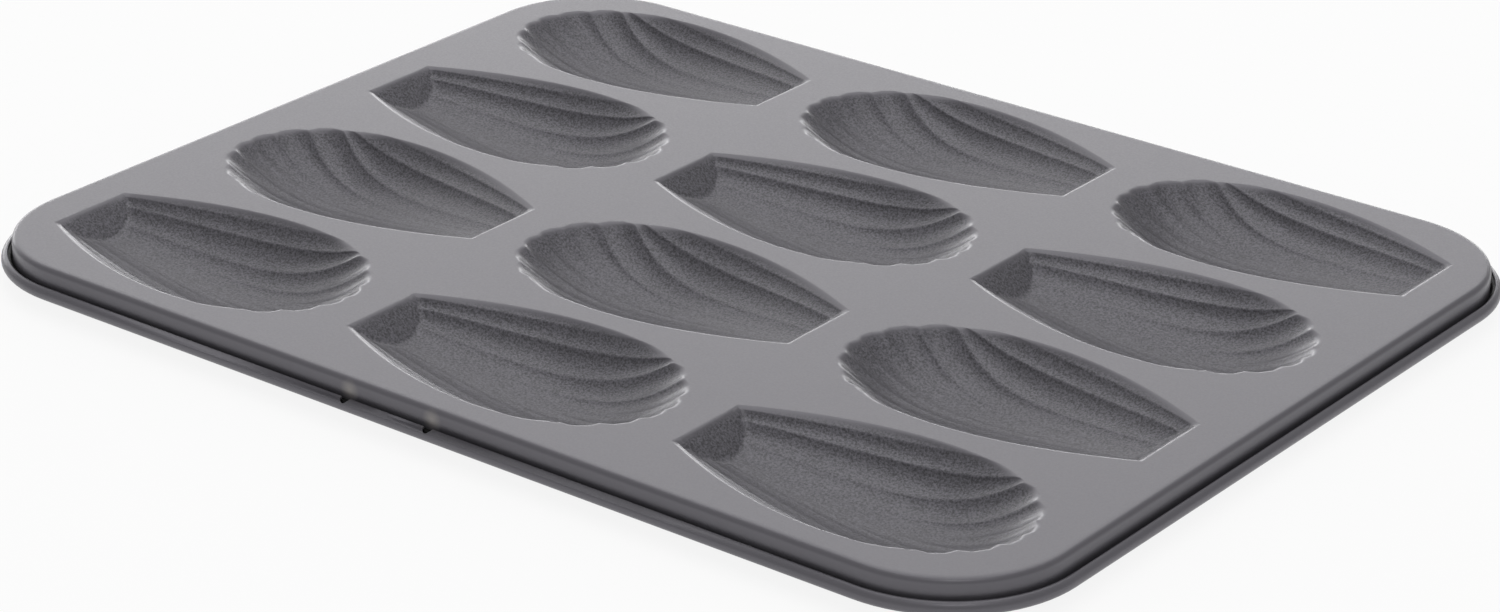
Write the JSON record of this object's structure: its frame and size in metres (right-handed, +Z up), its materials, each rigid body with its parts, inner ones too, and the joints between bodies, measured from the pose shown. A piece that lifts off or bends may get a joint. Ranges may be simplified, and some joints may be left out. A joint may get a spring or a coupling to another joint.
{
  "type": "madeleine pan",
  "caption": "Low steel baking pan with fluted, shell-shaped wells in staggered rows and an edge curled round a wire",
  "frame": {"origin": "middle of the bounding box in X and Y, at the height of the surface the pan stands on", "axes": "+X along the long side, +Y across the pan, +Z up, out of the wells"},
  "size_m": [0.319, 0.2484, 0.0115],
  "materials": {
    "coated_sheet": "satin dark grey non-stick coating on pressed carbon steel",
    "rim_wire": "drawn steel wire, dull"
  },
  "bodies": {
    "root": {"pan_sheet": "coated_sheet", "rim_wire": "rim_wire"}
  },
  "joints": []
}
